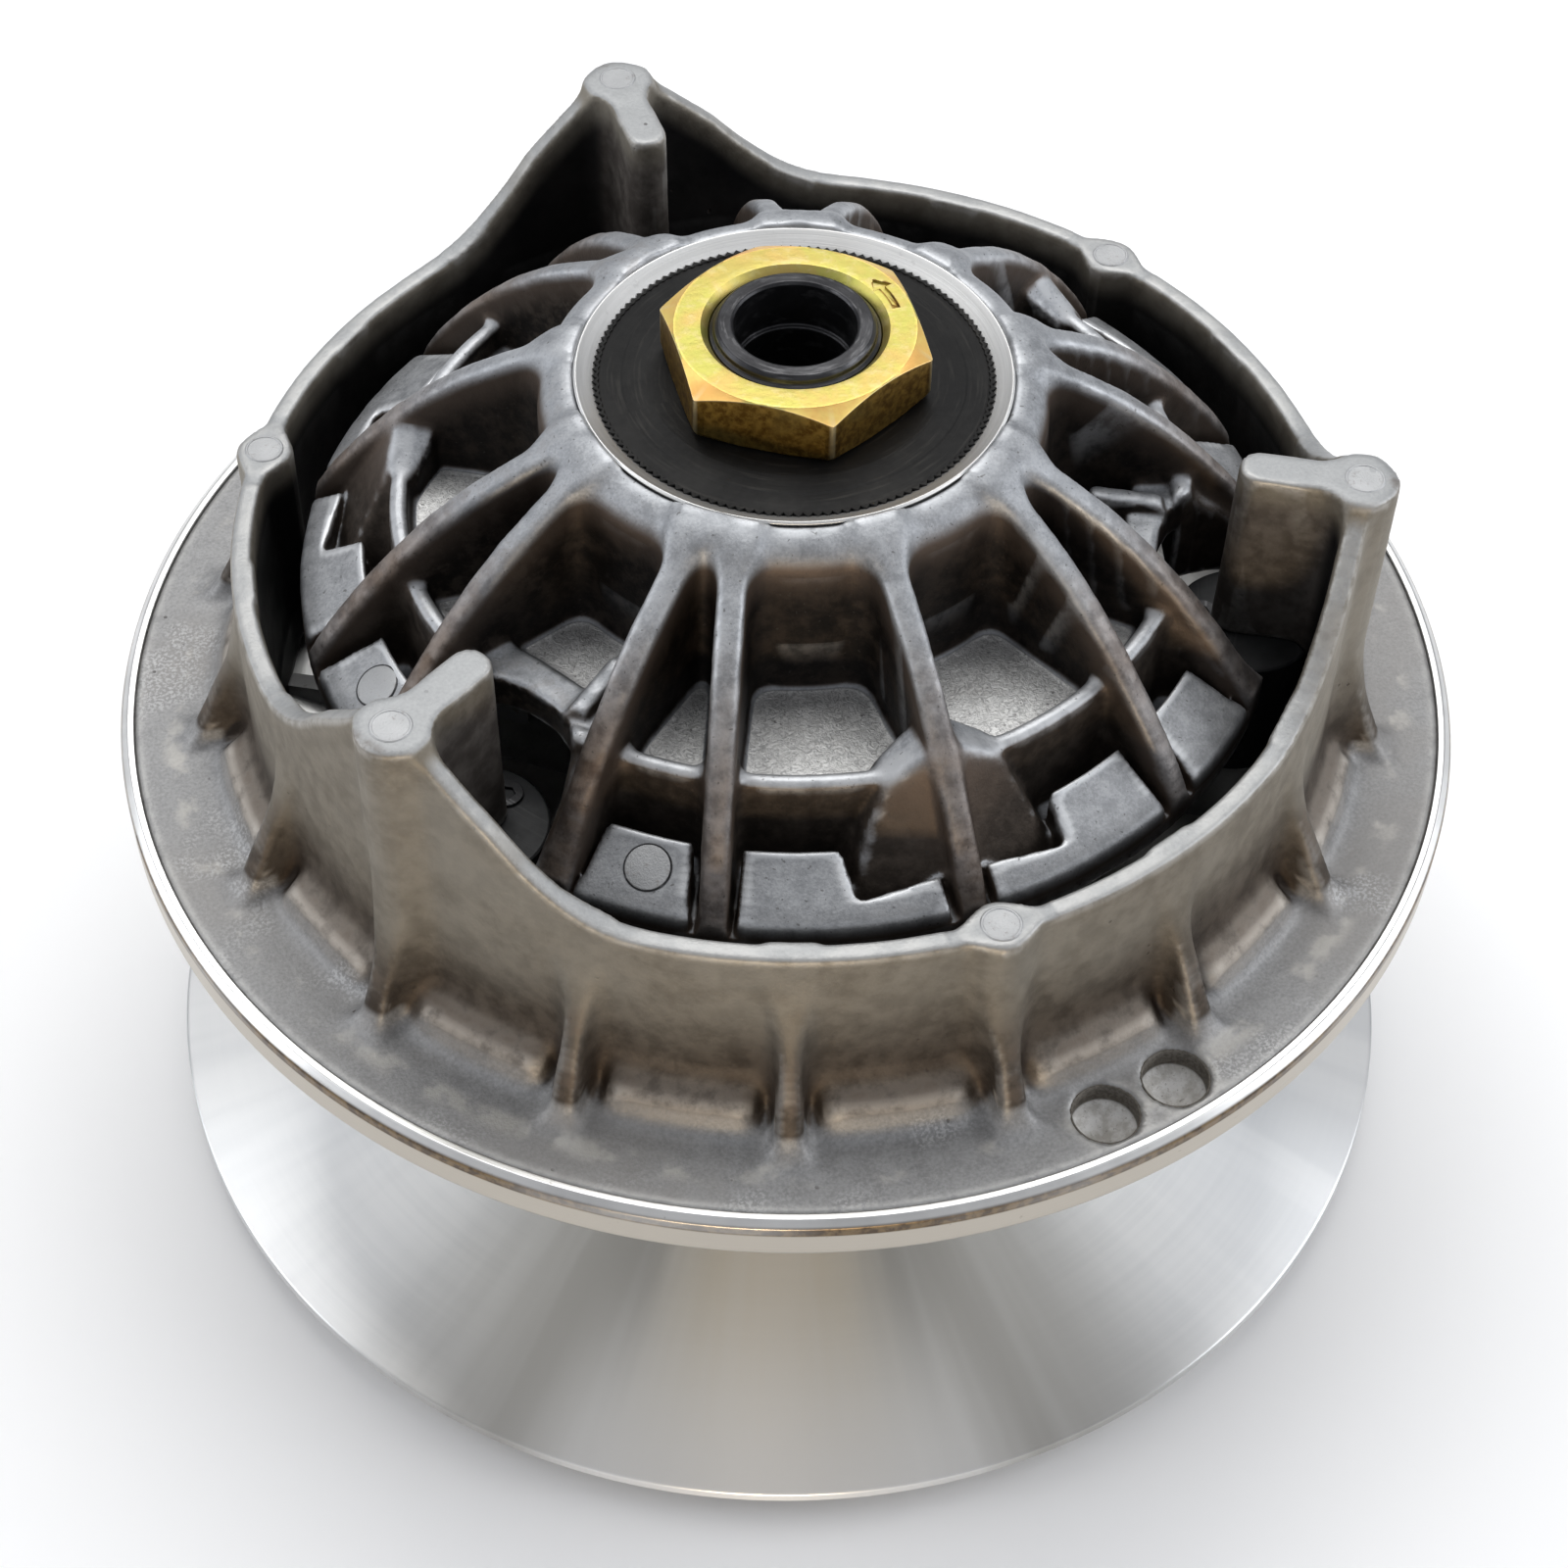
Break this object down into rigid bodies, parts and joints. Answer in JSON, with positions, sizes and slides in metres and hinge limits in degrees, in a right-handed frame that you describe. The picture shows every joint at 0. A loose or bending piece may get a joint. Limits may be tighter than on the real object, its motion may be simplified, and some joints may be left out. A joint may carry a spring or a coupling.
{
  "type": "cvt pulley set",
  "caption": "Drive clutch of a belt-driven continuously variable transmission: fixed and sliding conical sheaves on a shaft, spring-opened and closed by flyweights under a ribbed ramp cup.",
  "frame": {"origin": "on the shaft's axis, in the plane of the fixed sheave hub's crankshaft end", "axes": "+Z along the shaft, from the crankshaft end to the lock nut; +Y through one of the three tall towers"},
  "size_m": [0.205, 0.205, 0.1525],
  "materials": {
    "turned_aluminium": "turned bright, fine tool marks",
    "cast_aluminium_flange": "as-cast, stained warm grey, with turned rim and face",
    "cast_aluminium_cup": "as-cast, worn light on the ribs, with a turned hub ring",
    "black_steel": "blackened steel",
    "bearing_steel": "ground steel",
    "spring_steel": "drawn spring wire",
    "shoe_steel": "dark rubbed steel",
    "weight_steel": "plain steel, oiled",
    "bushing_bronze": "bronze bushing",
    "yellow_zinc": "yellow zinc plating over steel, worn at the corners",
    "roller_polymer": "glass-filled nylon"
  },
  "bodies": {
    "drive_shaft_group": {"shaft": "black_steel", "fixed_flange": "turned_aluminium", "thrust_washer": "bearing_steel", "bearing_inner_ring": "bearing_steel", "needle_rollers": "bearing_steel", "spring_seat_lower": "bearing_steel", "return_spring": "spring_steel", "ramp_cup": "cast_aluminium_cup", "cup_insert": "black_steel", "ramp_plates": "shoe_steel", "ramp_pins": "bearing_steel", "lock_nut": "yellow_zinc"},
    "idler": {"idler_sleeve": "bearing_steel"},
    "sliding_sheave": {"sliding_flange": "cast_aluminium_flange", "hub_bushing": "bushing_bronze", "spring_seat_upper": "bearing_steel", "guide_shoes": "shoe_steel", "shoe_screws": "black_steel"},
    "weight_1": {"flyweight_1": "weight_steel", "roller_pin_1": "bearing_steel"},
    "roller_1": {"roller_1": "roller_polymer"},
    "weight_2": {"flyweight_2": "weight_steel", "roller_pin_2": "bearing_steel"},
    "roller_2": {"roller_2": "roller_polymer"},
    "weight_3": {"flyweight_3": "weight_steel", "roller_pin_3": "bearing_steel"},
    "roller_3": {"roller_3": "roller_polymer"}
  },
  "joints": [
    {"name": "flange_slide", "type": "slide", "parent": "drive_shaft_group", "child": "sliding_sheave", "axis": [0, 0, -1], "range_m": [0, 0.028], "stiffness_N_per_m": 9000, "springref_m": -0.025, "deforming": ["return_spring"]},
    {"name": "idler_spin", "type": "hinge", "parent": "drive_shaft_group", "child": "idler", "pos_m": [0, 0, 0.0415], "axis": [0, 0, 1], "continuous": true},
    {"name": "weight_slide_1", "type": "slide", "parent": "sliding_sheave", "child": "weight_1", "axis": [0.866, 0.5, 0], "range_m": [0, 0.017]},
    {"name": "roller_spin_1", "type": "hinge", "parent": "weight_1", "child": "roller_1", "pos_m": [0.04244, 0.0245, 0.107], "axis": [-0.5, 0.866, 0], "continuous": true},
    {"name": "weight_slide_2", "type": "slide", "parent": "sliding_sheave", "child": "weight_2", "axis": [-0.866, 0.5, 0], "range_m": [0, 0.017]},
    {"name": "roller_spin_2", "type": "hinge", "parent": "weight_2", "child": "roller_2", "pos_m": [-0.04244, 0.0245, 0.107], "axis": [-0.5, -0.866, 0], "continuous": true},
    {"name": "weight_slide_3", "type": "slide", "parent": "sliding_sheave", "child": "weight_3", "axis": [0, -1, 0], "range_m": [0, 0.017]},
    {"name": "roller_spin_3", "type": "hinge", "parent": "weight_3", "child": "roller_3", "pos_m": [0, -0.049, 0.107], "axis": [1, 0, 0], "continuous": true}
  ],
  "couplings": [
    {"joint": "weight_slide_1", "follows": "flange_slide", "ratio": 0.60714},
    {"joint": "weight_slide_2", "follows": "flange_slide", "ratio": 0.60714},
    {"joint": "weight_slide_3", "follows": "flange_slide", "ratio": 0.60714}
  ]
}
